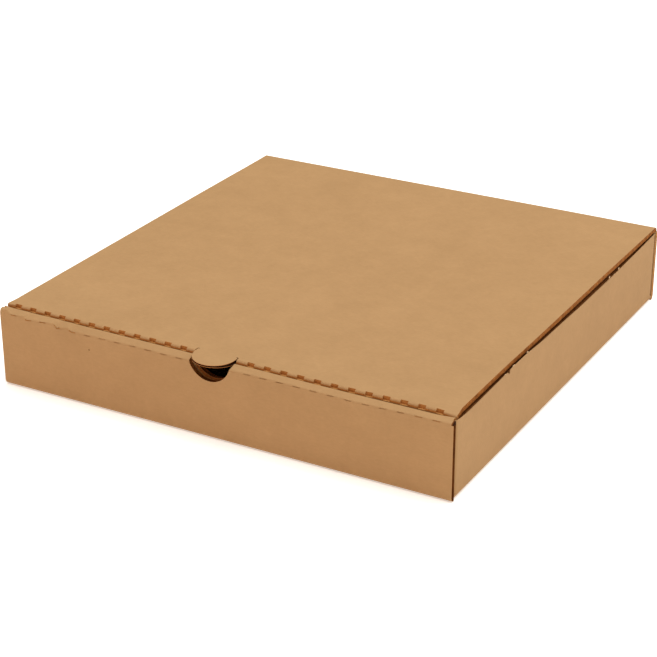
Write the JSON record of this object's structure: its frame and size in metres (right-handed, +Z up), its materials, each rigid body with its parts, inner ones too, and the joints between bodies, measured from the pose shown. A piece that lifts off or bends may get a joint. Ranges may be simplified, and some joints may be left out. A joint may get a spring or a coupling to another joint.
{
  "type": "pizza box",
  "caption": "Flat square folding box of kraft corrugated board with a rolled front wall, a hinged tuck-in lid and a thumb notch under the lid's tongue.",
  "frame": {"origin": "middle of the bottom panel's underside, halfway between the side walls and between the front and the back wall", "axes": "+Z up, the front wall with the thumb notch faces -Y, the lid's hinge crease is at +Y"},
  "size_m": [0.308, 0.3263, 0.0533],
  "materials": {
    "kraft_board": "uncoated brown kraft liner, matt"
  },
  "bodies": {
    "tray": {"tray": "kraft_board"},
    "lid": {"lid": "kraft_board"}
  },
  "joints": [
    {"name": "lid_hinge", "type": "hinge", "parent": "tray", "child": "lid", "pos_m": [0, 0.16015, 0.0498], "axis": [-1, 0, 0], "range_deg": [0, 180]}
  ]
}
